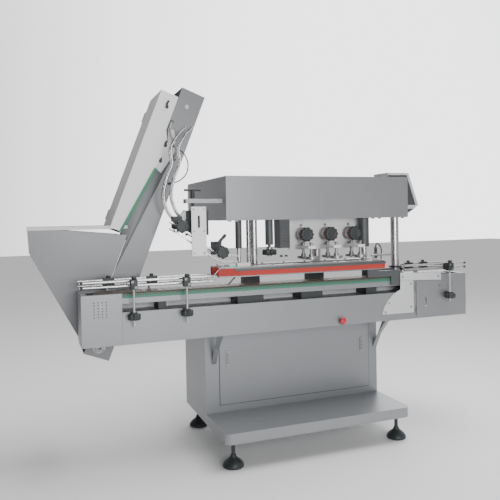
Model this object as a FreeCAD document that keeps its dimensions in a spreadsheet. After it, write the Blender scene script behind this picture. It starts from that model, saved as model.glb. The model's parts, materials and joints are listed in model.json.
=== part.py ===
import FreeCAD, Part

import math
import os
import re

import Sketcher
from FreeCAD import Placement, Rotation, Vector

# Automatic inline capping machine: a floor-standing cabinet carries a conveyor beam, two side-grip
# belts and a lifting hood with spindle wheels; an inclined elevator with a hopper feeds the caps.
# Frame: +X is the way the bottles travel, -Y is the operator's side, +Z is up. The origin is on the
# floor, under the middle of the machine's bounding box. Lengths are millimetres.

DIMENSIONS = [
    ("plinth_base", 134, "underside of the plinth above the floor"),
    ("plinth_top", 187, "top of the plinth shelf"),
    ("plinth_front", -525, "front edge of the plinth shelf"),
    ("corner_radius", 38, "rounded front corners of plinth and cabinet"),
    ("foot_radius", 53, "levelling foot pad"),
    ("stud_radius", 10, "levelling stud"),
    ("cabinet_left", -365, ""),
    ("cabinet_right", 697, ""),
    ("cabinet_front", -190, ""),
    ("cabinet_back", 234, ""),
    ("door_left", -285, ""),
    ("door_right", 640, ""),
    ("door_base", 228, ""),
    ("door_top", 604, ""),
    ("sheet_wall", 3, "sheet steel thickness"),
    ("beam_left", -1010, "outer end of the tail cover"),
    ("beam_right", 1222, "outer end of the drive box"),
    ("beam_front", -354, ""),
    ("beam_back", -130, ""),
    ("beam_base", 634, ""),
    ("table_top", 792, "top of the beam between the end boxes"),
    ("cover_top", 882, "top of the end boxes"),
    ("tail_seam", -819, "joint between tail cover and beam"),
    ("drive_seam", 852, "joint between beam and drive box"),
    ("path_y", -280, "centre line of the bottles"),
    ("chain_top", 886, ""),
    ("chain_width", 114, ""),
    ("chain_depth", 8, "plate thickness"),
    ("sprocket_radius", 56, ""),
    ("tail_axis", -915, "sprocket axis"),
    ("drive_axis", 1120, "sprocket axis"),
    ("belt_base", 940, "lower edge of the side belts"),
    ("belt_height", 38, ""),
    ("belt_wall", 5, ""),
    ("belt_left", -225, ""),
    ("belt_right", 655, ""),
    ("belt_nose", -335, "infeed end of the belts"),
    ("belt_gap", 84, "opening between the two belts"),
    ("belt_breadth", 58, "width of one belt loop"),
    ("hood_left", -257, ""),
    ("hood_right", 876, ""),
    ("hood_front", -272, ""),
    ("hood_back", 525, ""),
    ("hood_base", 1224, ""),
    ("hood_top", 1460, ""),
    ("column_radius", 25, ""),
    ("fit_gap", 0.06, "radial clearance of a running fit"),
    ("wheel_radius", 35, "capping wheel"),
    ("wheel_base", 1004, ""),
    ("knob_radius", 42, "star knobs on the head plate"),
    ("knob_height", 1137, ""),
    ("first_spindle", 206, ""),
    ("spindle_pitch", 153, ""),
    ("cap_half", 15, "half the diameter of the caps driven"),
    ("elevator_lean", 21.4, "degrees from upright"),
    ("elevator_x", -856, "lower right corner of the elevator"),
    ("elevator_z", 504, ""),
    ("elevator_length", 1500, ""),
    ("elevator_depth", 135, ""),
    ("lid_depth", 235, "outer face of the lid from the elevator's back"),
    ("elevator_front", -90, ""),
    ("elevator_back", 210, ""),
    ("roller_radius", 42, ""),
    ("hopper_left", -1240, ""),
    ("hopper_back", 240, ""),
    ("hopper_rim", 1208, ""),
    ("rod_radius", 6, "guide rail rods"),
    ("rail_end", 1240, "outfeed end of the guide rails"),
]

doc = FreeCAD.newDocument("capping_machine")
sheet = doc.addObject("Spreadsheet::Sheet", "Dims")
VALUES = {alias: float(value) for alias, value, _ in DIMENSIONS}
NODES = []


def fill_sheet():
    for row, (alias, value, note) in enumerate(DIMENSIONS, start=1):
        sheet.set(f"A{row}", alias)
        sheet.set(f"B{row}", str(value))
        sheet.set(f"C{row}", note)
        sheet.setAlias(f"B{row}", alias)
    doc.recompute()


def formula(text):
    """Turn words of a formula into references to the sheet."""
    return re.sub(r"[a-z]+_[a-z_]+", lambda word: "Dims." + word.group(0), str(text))


def bind(thing, **formulas):
    """Bind properties to formulas; at_x, at_y and at_z stand for the placement's base."""
    for name, text in formulas.items():
        path = f"Placement.Base.{name[3:]}" if name.startswith("at_") else name
        thing.setExpression(path, formula(text))
    return thing


def box(name, x, y, z):
    """A block between pairs of formulas along each axis."""
    block = doc.addObject("Part::Box", name)
    bind(block, at_x=x[0], at_y=y[0], at_z=z[0])
    return bind(block, Length=f"({x[1]}) - ({x[0]})", Width=f"({y[1]}) - ({y[0]})",
                Height=f"({z[1]}) - ({z[0]})")


TURNS = {
    "x": Rotation(Vector(0, 1, 0), 90),
    "y": Rotation(Vector(1, 0, 0), -90),
    "z": Rotation(),
}


def rod(name, axis, start, length, radius):
    """A cylinder from start, along +X, +Y or +Z."""
    bar = doc.addObject("Part::Cylinder", name)
    bar.Placement = Placement(Vector(), TURNS[axis])
    bind(bar, at_x=start[0], at_y=start[1], at_z=start[2])
    return bind(bar, Height=length, Radius=radius)


def cut(name, base, *tools):
    tool = tools[0] if len(tools) == 1 else join(f"{name}_tools", *tools)
    result = doc.addObject("Part::Cut", name)
    result.Base = base
    result.Tool = tool
    return result


def join(name, *pieces):
    result = doc.addObject("Part::MultiFuse", name)
    result.Shapes = list(pieces)
    return result


def group(name, *pieces):
    result = doc.addObject("Part::Compound", name)
    result.Links = list(pieces)
    return result


def keep(piece, label):
    """Mark an object as a finished sub-part."""
    piece.Label = label
    NODES.append(piece)
    return piece


def prism(name, points, y, plane="XZ_Plane"):
    """A sketched outline of (x, z) formulas, padded between two y formulas; on YZ_Plane, (y, z) and x."""
    body = doc.addObject("PartDesign::Body", name)
    sketch = body.newObject("Sketcher::SketchObject", f"{name}_outline")
    support = [item for item in body.Origin.OriginFeatures if item.Role == plane][0]
    sketch.AttachmentSupport = (support, "")
    sketch.MapMode = "FlatFace"
    count = len(points)
    angles = [2 * math.pi * i / count for i in range(count)]
    start = [Vector(math.cos(angle), math.sin(angle), 0) for angle in angles]
    for i in range(count):
        sketch.addGeometry(Part.LineSegment(start[i], start[(i + 1) % count]))
    for i in range(count):
        sketch.addConstraint(Sketcher.Constraint("Coincident", i, 2, (i + 1) % count, 1))
    for i, pair in enumerate(points):
        for kind, text, value in zip(("DistanceX", "DistanceY"), pair, start[i]):
            number = sketch.addConstraint(Sketcher.Constraint(kind, -1, 1, i, 1, value))
            sketch.setExpression(f"Constraints[{number}]", formula(text))
    pad = body.newObject("PartDesign::Pad", f"{name}_pad")
    pad.Profile = sketch
    bind(pad, Length=f"({y[1]}) - ({y[0]})")
    if plane == "XZ_Plane":
        bind(body, at_y=y[1])
    else:
        bind(body, at_x=y[0])
    return body


def hollow(name, solid, wall, *open_sides):
    """A sheet-metal shell of a solid, open on the sides named by direction."""
    doc.recompute()
    faces = []
    for number, face in enumerate(solid.Shape.Faces, start=1):
        normal = face.normalAt(0, 0)
        if any(normal.dot(side) > 0.99 for side in open_sides):
            faces.append(f"Face{number}")
    shell = doc.addObject("Part::Thickness", name)
    shell.Faces = (solid, faces)
    shell.Join = 2
    return bind(shell, Value=f"-({wall})")


def round_edges(name, solid, radius, chosen):
    """Round the edges that chosen accepts."""
    doc.recompute()
    fillet = doc.addObject("Part::Fillet", name)
    fillet.Base = solid
    numbers = [i for i, edge in enumerate(solid.Shape.Edges, start=1) if chosen(edge)]
    fillet.Edges = [(i, VALUES[radius], VALUES[radius]) for i in numbers]
    return fillet


def turned(name, outline, axis, place):
    """A turned solid: (radius, height) pairs of numbers revolved about an axis from a place."""
    points = [Vector(radius, 0, height) for radius, height in outline]
    face = Part.Face(Part.makePolygon(points + [points[0]]))
    solid = face.revolve(Vector(), Vector(0, 0, 1), 360)
    feature = doc.addObject("Part::Feature", name)
    feature.Shape = solid
    feature.Placement = Placement(Vector(*place), TURNS[axis])
    return feature


def pipe(name, points, radius):
    """A round bar of straight runs joined by the largest smooth arcs."""
    points = [Vector(*point) for point in points]
    edges = []
    last = points[0]
    for before, corner, after in zip(points, points[1:], points[2:]):
        to_before = (before - corner).normalize()
        to_after = (after - corner).normalize()
        trim = 0.45 * min((before - corner).Length, (after - corner).Length)
        half = (math.pi - to_before.getAngle(to_after)) / 2
        bend = trim / math.tan(half)
        centre = corner + (to_before + to_after).normalize() * (bend / math.cos(half))
        first = corner + to_before * trim
        second = corner + to_after * trim
        middle = centre + (corner - centre).normalize() * bend
        edges.append(Part.LineSegment(last, first).toShape())
        edges.append(Part.Arc(first, middle, second).toShape())
        last = second
    edges.append(Part.LineSegment(last, points[-1]).toShape())
    path = Part.Wire(edges)
    section = Part.Wire(Part.makeCircle(radius, points[0], points[1] - points[0]))
    feature = doc.addObject("Part::Feature", name)
    feature.Shape = path.makePipeShell([section], True, False)
    return feature


def star_knob(name, axis, place, radius, height, bore, lobes):
    """A moulded hand knob: a disc with finger hollows round its rim and a round bore."""
    disc = Part.makeCylinder(radius, height)
    step = 2 * math.pi / lobes
    for i in range(lobes):
        reach = radius * 1.06
        spot = Vector(reach * math.cos(i * step), reach * math.sin(i * step), -1)
        disc = disc.cut(Part.makeCylinder(radius * 0.16, height + 2, spot))
    if bore:
        disc = disc.cut(Part.makeCylinder(bore, height + 2, Vector(0, 0, -1)))
    feature = doc.addObject("Part::Feature", name)
    feature.Shape = disc
    feature.Placement = Placement(Vector(*place), TURNS[axis])
    return feature


def tilt(piece):
    """Lean a piece drawn upright about the elevator's lower right corner."""
    turn = Rotation(Vector(0, 1, 0), VALUES["elevator_lean"])
    corner = Vector(VALUES["elevator_x"], 0, VALUES["elevator_z"])
    piece.Placement = Placement(corner, turn)
    return piece


LEFT, RIGHT = Vector(-1, 0, 0), Vector(1, 0, 0)
FRONT, BACK = Vector(0, -1, 0), Vector(0, 1, 0)
DOWN, UP = Vector(0, 0, -1), Vector(0, 0, 1)
STOP_X, STOP_Z = 372, 660
FEET = [(-304, -452), (655, -446), (-306, 190), (655, 190)]


def at_corner(edge, x, y):
    """True for an upright edge at a place."""
    spots = [vertex.Point for vertex in edge.Vertexes]
    return all(abs(spot.x - x) < 0.1 and abs(spot.y - y) < 0.1 for spot in spots)


def make_plinth():
    block = box("plinth_block", ("cabinet_left", "cabinet_right"), ("plinth_front", "cabinet_back"),
                ("plinth_base", "plinth_top"))
    corners = (VALUES["cabinet_left"], VALUES["cabinet_right"])
    rounded = round_edges("plinth_rounded", block, "corner_radius",
                          lambda edge: any(at_corner(edge, x, VALUES["plinth_front"]) for x in corners))
    tray = hollow("plinth_tray", rounded, "sheet_wall + 1", DOWN)
    bosses = [rod(f"foot_boss_{i}", "z", (x, y, "plinth_base"), "plinth_top - plinth_base - 2", 24)
              for i, (x, y) in enumerate(FEET)]
    bores = [rod(f"foot_bore_{i}", "z", (x, y, "plinth_base - 5"), "40", "stud_radius + fit_gap")
             for i, (x, y) in enumerate(FEET)]
    keep(cut("plinth", join("plinth_welded", tray, *bosses), *bores), "plinth")


def make_feet():
    pads = []
    for i, (x, y) in enumerate(FEET):
        pad = turned(f"foot_pad_{i}",
                     [(0, 0), (VALUES["foot_radius"], 0), (VALUES["foot_radius"], 9), (18, 24), (0, 24)],
                     "z", (x, y, 0))
        stud = rod(f"foot_stud_{i}", "z", (x, y, 20), "plinth_base + 8", "stud_radius")
        nut = rod(f"foot_nut_{i}", "z", (x, y, "plinth_base - 13"), 12, 17)
        pads.append(join(f"foot_{i}", pad, stud, nut))
    keep(group("levelling_feet", *pads), "levelling_feet")


def make_cabinet():
    block = box("cabinet_block", ("cabinet_left", "cabinet_right"), ("cabinet_front", "cabinet_back"),
                ("plinth_top", "table_top"))
    shell = hollow("cabinet_hollow", block, "sheet_wall", DOWN)
    rest = box("cabinet_rest", ("cabinet_left - 5", "cabinet_right + 5"),
               ("cabinet_front - 5", "beam_back + 0.5"),
               ("beam_base - 0.5", "table_top + 5"))
    doorway = box("doorway", ("door_left + 15", "door_right - 15"),
                  ("cabinet_front - 5", "cabinet_front + 5"),
                  ("door_base + 15", "door_top - 15"))
    keep(cut("cabinet", shell, rest, doorway), "cabinet")


def make_cabinet_door():
    keep(box("cabinet_door", ("door_left", "door_right"), ("cabinet_front - 3", "cabinet_front - 0.4"),
             ("door_base", "door_top")), "cabinet_door")
    for side, x in (("left", "door_left + 38"), ("right", "door_right - 58")):
        plate = box(f"latch_plate_{side}", (x, f"{x} + 20"), ("cabinet_front - 8", "cabinet_front - 3.3"),
                    (438, 517))
        pivot = rod(f"latch_pivot_{side}", "y", (f"{x} + 10", "cabinet_front - 10", 477.5), 3, 6)
        keep(join(f"{side}_latch", plate, pivot), f"{side}_latch")


def make_beam():
    block = box("beam_block", ("tail_seam", "drive_seam"), ("beam_front", "beam_back"),
                ("beam_base", "table_top"))
    tube = hollow("beam_tube", block, "sheet_wall", LEFT, RIGHT)
    hole = rod("stop_hole", "y", (STOP_X, "beam_front - 5", STOP_Z), 10, 11.5)
    keep(cut("beam", tube, hole), "beam")


def end_box(name, x, open_side, slot, shaft_x):
    """A sheet box at one end of the beam with a slot for the chain and bores for the sprocket shaft."""
    block = box(f"{name}_block", x, ("beam_front", "beam_back"), ("beam_base", "cover_top"))
    shell = hollow(f"{name}_shell", block, "sheet_wall", open_side)
    mouth = box(f"{name}_mouth", slot, ("path_y - chain_width/2 - 4", "path_y + chain_width/2 + 4"),
                ("cover_top - 10", "cover_top + 5"))
    bore = rod(f"{name}_bore", "y",
               (shaft_x, "beam_front - 5", "chain_top - sprocket_radius - chain_depth/2"),
               "beam_back - beam_front + 10", "12 + fit_gap")
    return shell, mouth, bore


def make_end_boxes():
    shell, mouth, bore = end_box("tail", ("beam_left", "tail_seam - 0.5"), RIGHT,
                                 ("tail_axis - 70", "tail_seam + 5"), "tail_axis")
    keep(cut("tail_cover", shell, mouth, bore), "tail_cover")
    shell, mouth, bore = end_box("drive", ("drive_seam + 0.5", "beam_right"), LEFT,
                                 ("drive_seam - 5", "drive_axis + 70"), "drive_axis")
    opening = box("drive_opening", ("drive_seam + 36", 1024), ("beam_front - 5", "beam_front + 5"),
                  ("beam_base + 35", "cover_top - 90"))
    column_x, column_y = COLUMNS["right"][:2]
    relief = rod("column_relief", "z", (column_x, column_y, "cover_top - 100"), 120, "column_radius + 9")
    keep(cut("drive_box", shell, mouth, bore, opening, relief), "drive_box")


def make_drive_door():
    plate = box("drive_door_plate", ("drive_seam + 16", 1044), ("beam_front - 3.4", "beam_front - 0.4"),
                ("beam_base + 14", "cover_top - 32"))
    hole = rod("lock_hole", "y", (1034, "beam_front - 5", 815), 6, "6 + fit_gap")
    barrels = [rod(f"door_barrel_{i}", "z", ("drive_seam + 15", "beam_front - 5", z), 46, 3.5)
               for i, z in enumerate((664, 788))]
    keep(join("drive_door", cut("drive_door_bored", plate, hole), *barrels), "drive_door")
    keep(rod("door_lock", "y", (1034, "beam_front - 7", 815), "6.6", 6), "door_lock")


def make_struts():
    bars = []
    for i, x in enumerate(("cabinet_left + 36", "cabinet_right - 25")):
        bars.append(prism(f"strut_{i}", [("cabinet_front", 452), ("cabinet_front", 487),
                                         ("beam_front + 20", "beam_base"),
                                         ("beam_front + 55", "beam_base")],
                          (x, f"{x} + 25"), "YZ_Plane"))
    keep(group("brace_struts", *bars), "brace_struts")


def make_rails():
    bars = []
    strips = []
    half = "chain_width/2"
    lips = {"front": (f"path_y - {half} - 3.2", f"path_y - {half} - 0.3"),
            "rear": (f"path_y + {half} + 0.3", f"path_y + {half} + 3.2")}
    for side, low, high in (("front", f"path_y - {half} - 3", f"path_y - {half} + 3"),
                            ("rear", f"path_y + {half} - 3", f"path_y + {half} + 3")):
        outer_lip = lips[side]
        bars.append(box(f"rail_{side}", ("tail_seam + 1", "drive_seam - 1"), (low, high),
                        ("chain_top - 55", "chain_top - 28.3")))
        sole = box(f"wear_sole_{side}", ("tail_seam + 1", "drive_seam - 1"), (low, high),
                   ("chain_top - 28", "chain_top - chain_depth - 0.3"))
        lip = box(f"wear_lip_{side}", ("tail_seam + 1", "drive_seam - 1"), outer_lip,
                  ("chain_top - 28", "chain_top - 7"))
        strips.append(join(f"wear_strip_{side}", sole, lip))
    keep(group("side_rails", *bars), "side_rails")
    keep(group("green_strips", *strips), "green_strips")


def stadium(name, left, right, z, radius, y):
    """A prism with round ends between two axes at one height."""
    middle = box(f"{name}_middle", (left, right), y, (f"{z} - ({radius})", f"{z} + ({radius})"))
    depth = f"({y[1]}) - ({y[0]})"
    ends = [rod(f"{name}_end_{i}", "y", (x, y[0], z), depth, radius) for i, x in enumerate((left, right))]
    return join(name, middle, *ends)


def make_chain():
    z = "chain_top - sprocket_radius - chain_depth/2"
    outer = stadium("chain_outer", "tail_axis", "drive_axis", z, "sprocket_radius + chain_depth/2",
                    ("path_y - chain_width/2", "path_y + chain_width/2"))
    inner = stadium("chain_inner", "tail_axis", "drive_axis", z, "sprocket_radius - chain_depth/2",
                    ("path_y - chain_width/2 - 5", "path_y + chain_width/2 + 5"))
    keep(cut("conveyor_chain", outer, inner), "conveyor_chain")
    for name, x in (("tail_sprocket", "tail_axis"), ("drive_sprocket", "drive_axis")):
        shaft = rod(f"{name}_shaft", "y", (x, "beam_front + 0.5", z), "beam_back - beam_front + 5.5", 12)
        wheels = [rod(f"{name}_wheel_{i}", "y", (x, y, z), 14, "sprocket_radius - chain_depth/2 - 0.5")
                  for i, y in enumerate(("path_y - 40", "path_y + 26"))]
        keep(join(name, shaft, *wheels), name)


def make_supports(arms):
    """Black plastic blocks: under the rails, under the rear belt and on the beam's front for the posts."""
    blocks = []
    for i, (left, right) in enumerate(((-640, -600), (-225, -80), (140, 268), (545, 612))):
        blocks.append(box(f"rail_block_{i}", (left, right), ("path_y - 56", "path_y + 56"),
                          ("table_top", "chain_top - 55")))
    for i, (left, right) in enumerate(((-144, -53), (243, 340), (622, 687))):
        blocks.append(box(f"belt_stand_{i}", (left, right), ("path_y + 64", "path_y + 120"),
                          ("table_top", "belt_base - 6.3")))
    for i, (x, level) in enumerate(zip(POSTS, KNOB_LEVELS)):
        bracket = box(f"post_bracket_{i}", (x - 14, x + 14), (POST_Y - 12, "beam_front - 0.2"),
                      (level + 30.3, level + 36))
        bore = rod(f"post_bore_{i}", "z", (x, POST_Y, level + 20), 40, "6 + fit_gap")
        blocks.append(cut(f"post_clamp_{i}", bracket, bore))
    keep(group("support_blocks", *blocks, *arms), "support_blocks")


POSTS = (-768, -508, 1078)
KNOB_LEVELS = (757, 757, 742)
POST_Y = -390


def belt_outline(side, grow):
    """Outline of one belt, from the straight gripping run round the drive end to the slim infeed nose."""
    near = VALUES["belt_gap"] / 2
    far = near + VALUES["belt_breadth"]
    nose = 14
    half = VALUES["belt_breadth"] / 2
    left = VALUES["belt_nose"]
    right = VALUES["belt_right"]
    bend = VALUES["belt_left"]
    path = VALUES["path_y"]

    def spot(x, reach):
        return Vector(x, path + side * reach, 0)

    nose_x = left + nose
    tip = near + nose
    edges = [
        Part.LineSegment(spot(nose_x, near + grow), spot(right - half, near + grow)),
        Part.Arc(spot(right - half, near + grow), spot(right - grow, near + half),
                 spot(right - half, far - grow)),
        Part.LineSegment(spot(right - half, far - grow), spot(bend, far - grow)),
        Part.LineSegment(spot(bend, far - grow), spot(nose_x, tip + nose - grow)),
        Part.Arc(spot(nose_x, tip + nose - grow), spot(left + grow, tip), spot(nose_x, near + grow)),
    ]
    return Part.Wire([edge.toShape() for edge in edges])


def make_belts():
    loops = []
    plates = []
    base = VALUES["belt_base"]
    height = VALUES["belt_height"]
    for name, side in (("front", -1), ("rear", 1)):
        outer = Part.Face(belt_outline(side, 0)).extrude(Vector(0, 0, height))
        inner = Part.Face(belt_outline(side, VALUES["belt_wall"])).extrude(Vector(0, 0, height))
        loop = doc.addObject("Part::Feature", f"belt_{name}")
        loop.Shape = outer.cut(inner)
        loop.Placement = Placement(Vector(0, 0, base), Rotation())
        loops.append(loop)
        for level, low, thick in (("under", base - 6.3, 6), ("top", base + height + 0.3, 8)):
            cover = Part.Face(belt_outline(side, 3)).extrude(Vector(0, 0, thick))
            shaft = Vector(VALUES["belt_right"] - 29,
                           VALUES["path_y"] + side * (VALUES["belt_gap"] / 2 + 29), -1)
            cover = cover.cut(Part.makeCylinder(9 + VALUES["fit_gap"], thick + 2, shaft))
            plate = doc.addObject("Part::Feature", f"belt_plate_{name}_{level}")
            plate.Shape = cover
            plate.Placement = Placement(Vector(0, 0, low), Rotation())
            plates.append(plate)
        spacer = box(f"belt_core_{name}", ("belt_left + 20", "belt_right - 75"), belt_core(side),
                     ("belt_base - 0.3", "belt_base + belt_height + 0.3"))
        plates.append(spacer)
        pulley = rod(f"{name}_pulley_rim", "z", belt_axis(side, "belt_base + 1"), "belt_height - 2",
                     "belt_breadth/2 - belt_wall - 0.3")
        shaft = rod(f"{name}_pulley_shaft", "z", belt_axis(side, "belt_base - 5.8"),
                    "belt_height + 13.8", 9)
        keep(join(f"{name}_belt_pulley", pulley, shaft), f"{name}_belt_pulley")
    keep(group("side_belts", *loops), "side_belts")
    arms = [prism("belt_arm", [(-243, 933), (-236, 933), (-276, 894), (-283, 894)], (-351, -343))]
    keep(group("belt_plates", *plates), "belt_plates")
    return arms


def belt_core(side):
    """The (near, far) y limits of the block inside one belt; side is 1 at the rear and -1 at the front."""
    inner = "belt_gap/2 + belt_wall + 4"
    outer = "belt_gap/2 + belt_breadth - belt_wall - 4"
    if side > 0:
        return f"path_y + {inner}", f"path_y + {outer}"
    return f"path_y - ({outer})", f"path_y - ({inner})"


def belt_axis(side, z):
    sign = "+" if side > 0 else "-"
    return "belt_right - belt_breadth/2", f"path_y {sign} belt_gap/2 {sign} belt_breadth/2", z


def make_outfeed_guides():
    front = join("outfeed_front",
                 box("outfeed_bar", (612, "drive_seam - 90"), ("path_y - 72", "path_y - 60"),
                     ("chain_top + 2", 922)),
                 box("outfeed_foot", (700, "drive_seam - 90"), ("path_y - 72", "path_y - 60.5"),
                     ("chain_top - 50", "chain_top + 2")),
                 box("outfeed_post", (548, 612), ("path_y - 72", "path_y - 60"),
                     ("chain_top + 2", "belt_base - 6.3")))
    rear = box("outfeed_rear", (690, "drive_seam - 52"), ("path_y + 60.5", "path_y + 72"),
               ("chain_top - 50", 922))
    keep(group("outfeed_guides", front, rear), "outfeed_guides")


COLUMNS = {
    "right": (835, -190, 25, 792, 1440),
    "mast": (494, 180, 30, 792, 1440),
    "light": (-86, -222, 18.5, 986.6, 1440),
    "dark": (-104, -186, 13, 986.6, 1440),
    "left_rod": (-168, -204, 11, 986.6, 1440),
    "right_rod": (603, -220, 18, 986.6, 1440),
}
SLEEVES = {"left": (-168, -204, 18, 1072, 11), "right": (603, -220, 31, 1057, 18)}


def make_columns():
    bars = []
    for name, (x, y, radius, low, high) in COLUMNS.items():
        bar = rod(f"column_{name}", "z", (x, y, low), high - low, radius)
        if low < 900:
            flange = rod(f"column_{name}_flange", "z", (x, y, low), 14, radius + 8)
            bar = join(f"column_{name}_welded", bar, flange)
        bars.append(bar)
    keep(group("columns", *bars), "columns")


def make_hood():
    block = box("hood_block", ("hood_left", "hood_right"), ("hood_front", "hood_back"),
                ("hood_base", "hood_top"))
    inside = box("hood_inside", ("hood_left + sheet_wall", "hood_right - sheet_wall"),
                 ("hood_front + sheet_wall", "hood_back - sheet_wall"),
                 ("hood_base + sheet_wall", "hood_top - sheet_wall"))
    holes = [inside]
    for name, (x, y, radius, _, _) in COLUMNS.items():
        sleeved = f"{name}".replace("_rod", "") in SLEEVES and name.endswith("_rod")
        reach = SLEEVES[name.replace("_rod", "")][2] - 2 if sleeved else radius + 1
        holes.append(rod(f"hood_hole_{name}", "z", (x, y, "hood_base - 5"), 20, reach))
    keep(cut("hood", block, *holes), "hood")


def make_head_drives():
    """Dark castings under the hood: sleeves, gear motor and the lift tube."""
    pieces = []
    for name, (x, y, radius, low, core) in SLEEVES.items():
        tube = rod(f"sleeve_{name}", "z", (x, y, low), f"hood_base - {low}", radius)
        bore = rod(f"sleeve_bore_{name}", "z", (x, y, low - 5), 300, f"{core} + fit_gap")
        pieces.append(cut(f"sleeve_{name}_bored", tube, bore))
    pieces.append(box("gear_motor", (57, 116), (-250, -165), (1066, "hood_base")))
    pieces.append(join("lift_tube_set", rod("lift_tube", "z", (0, -232, 1086), "hood_base - 1086", 22),
                       rod("lift_stud", "z", (0, -232, 1030), 60, 8)))
    keep(group("head_drives", *pieces), "head_drives")


def make_head_plate():
    plate = box("head_plate_sheet", (148, 596), (-172, -158), (1050, "hood_base"))
    holes = [rod(f"knob_hole_{i}", "y",
                 (f"first_spindle + {i} * spindle_pitch + 14", -180, "knob_height"), 30,
                 "9 + fit_gap") for i in range(3)]
    plate = cut("head_plate_drilled", plate, *holes)
    arms = []
    for i in range(3):
        x = f"first_spindle + {i} * spindle_pitch"
        arm = box(f"spindle_arm_{i}", (f"{x} - 22", f"{x} + 22"), (-345, -172), (1062, 1076))
        bores = [rod(f"arm_bore_{i}_{side}", "z", (x, spindle_y(side), 1055), 30, "8 + fit_gap")
                 for side in (-1, 1)]
        arms.append(cut(f"spindle_bracket_{i}", arm, *bores))
    keep(join("head_plate", plate, *arms), "head_plate")


def spindle_y(side):
    sign = "+" if side > 0 else "-"
    return f"path_y {sign} cap_half {sign} wheel_radius"


def make_spindles():
    for i in range(3):
        x = f"first_spindle + {i} * spindle_pitch"
        for side, row in ((-1, "front"), (1, "rear")):
            wheel = rod(f"wheel_{row}_{i}", "z", (x, spindle_y(side), "wheel_base"), 16,
                        "wheel_radius - 0.2")
            hub = rod(f"hub_{row}_{i}", "z", (x, spindle_y(side), "wheel_base + 16"), 12, 14)
            shaft = rod(f"spindle_{row}_{i}", "z", (x, spindle_y(side), "wheel_base - 6"), 90, 8)
            keep(join(f"{row}_spindle_{i + 1}", wheel, hub, shaft), f"{row}_spindle_{i + 1}")


def make_head_knobs():
    for i in range(3):
        x = VALUES["first_spindle"] + i * VALUES["spindle_pitch"] + 14
        shaft = rod(f"knob_shaft_{i}", "y", (x, -240, "knob_height"), 90, 9)
        grip = star_knob(f"knob_grip_{i}", "y", (x, -262, VALUES["knob_height"]), VALUES["knob_radius"],
                         28, 0, 10)
        keep(join(f"adjusting_knob_{i + 1}", grip, shaft), f"adjusting_knob_{i + 1}")
    grip = star_knob("handwheel_grip", "z", (0, -232, 1031), VALUES["knob_radius"], 30, 8.1, 8)
    keep(grip, "lift_handwheel")


CHUTE_LINE = ((-560, 1184), (-484, 1136), (-343, 1030), (-285, 1005), (-205, 1000))


def make_chute():
    bars = []
    for i, y in enumerate((-306, -258)):
        for j, lift in enumerate((0, 34)):
            under = [(x, z + lift) for x, z in CHUTE_LINE]
            points = under + [(x, z + 8) for x, z in reversed(under)]
            bars.append(prism(f"chute_bar_{i}_{j}", points, (y, y + 4)))
    keep(group("chute_rails", *bars), "chute_rails")
    plate = box("chute_plate_sheet", (-457, -380), (-314, -306.3), (1046, 1298))
    slot = box("chute_slot", (-424, -413), (-320, -300), (1190, 1252))
    keep(cut("chute_plate", plate, slot), "chute_plate")


def make_chute_carriage():
    pieces = []
    for i, (x, z) in enumerate(((-516, 1207), (-306, 1070))):
        block = box(f"chute_block_{i}", (x - 26, x + 26), (-253.7, -222), (z - 24, z + 44))
        clamp = box(f"chute_clamp_{i}", (x - 18, x + 18), (-330, -310.3), (z - 30, z + 14))
        bore = rod(f"chute_bore_{i}", "y", (x, -345, z - 8), 60, "5 + fit_gap")
        pieces.append(block)
        pieces.append(cut(f"chute_clamp_bored_{i}", clamp, bore))
        knob = star_knob(f"chute_knob_grip_{i}", "y", (x, -364, z - 8), 34, 26, 0, 8)
        stem = rod(f"chute_knob_stem_{i}", "y", (x, -340, z - 8), 26, 5)
        keep(join(f"chute_knob_{i + 1}", knob, stem), f"chute_knob_{i + 1}")
    slide = box("carriage_slide", (-470, -350), (-253.7, -225), (1150, 1280))
    nut_bore = rod("carriage_bore", "z", (-430, -239, 1140), 160, "7 + fit_gap")
    pieces.append(cut("carriage_body", slide, nut_bore))
    keep(group("chute_carriage", *pieces), "chute_carriage")
    arm = box("chute_arm", (-470, "hood_left - 0.3"), (-222, -200), (1318, 1340))
    head = box("chute_arm_head", (-470, -390), (-255, -222), (1318, 1340))
    bore = rod("chute_arm_bore", "z", (-430, -239, 1310), 40, "7 + fit_gap")
    bracket = cut("chute_bracket", join("chute_bracket_welded", arm, head), bore)
    screw = rod("screw_shaft", "z", (-430, -239, 1165), 225, 7)
    bar = rod("screw_bar", "x", (-474, -239, 1386), 88, 6)
    hub = rod("screw_hub", "z", (-430, -239, 1344), 42, 11)
    keep(join("screw_handle", screw, bar, hub), "screw_handle")
    return bracket


def make_elevator():
    block = box("elevator_block", ("-elevator_depth", 0), ("elevator_front", "elevator_back"),
                (0, "elevator_length"))
    channel = hollow("elevator_channel", block, "sheet_wall", LEFT)
    notch = prism("elevator_notch",
                  [("-elevator_depth - 5", 404), ("-50", 1168), ("-elevator_depth - 5", 1262)],
                  ("elevator_front - 5", "elevator_front + 8"))
    bores = [rod(f"roller_bore_{i}", "y", (-75, "elevator_front - 5", z),
                 "elevator_back - elevator_front + 10",
                 "12 + fit_gap") for i, z in enumerate(ROLLERS)]
    discharge = box("elevator_mouth", (-5, 5), (-60, 60), (1250, 1370))
    keep(tilt(cut("elevator_frame", channel, notch, discharge, *bores)), "elevator_frame")
    make_elevator_belt()
    for name, z in zip(("tail_roller", "head_roller"), ROLLERS):
        shaft = rod(f"{name}_shaft", "y", (-75, "elevator_front - 1", z),
                    "elevator_back - elevator_front + 13", 12)
        drum = rod(f"{name}_drum", "y", (-75, "elevator_front + 22", z),
                   "elevator_back - elevator_front - 44",
                   "roller_radius")
        keep(tilt(join(name, shaft, drum)), name)


ROLLERS = (55, 1410)


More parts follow.
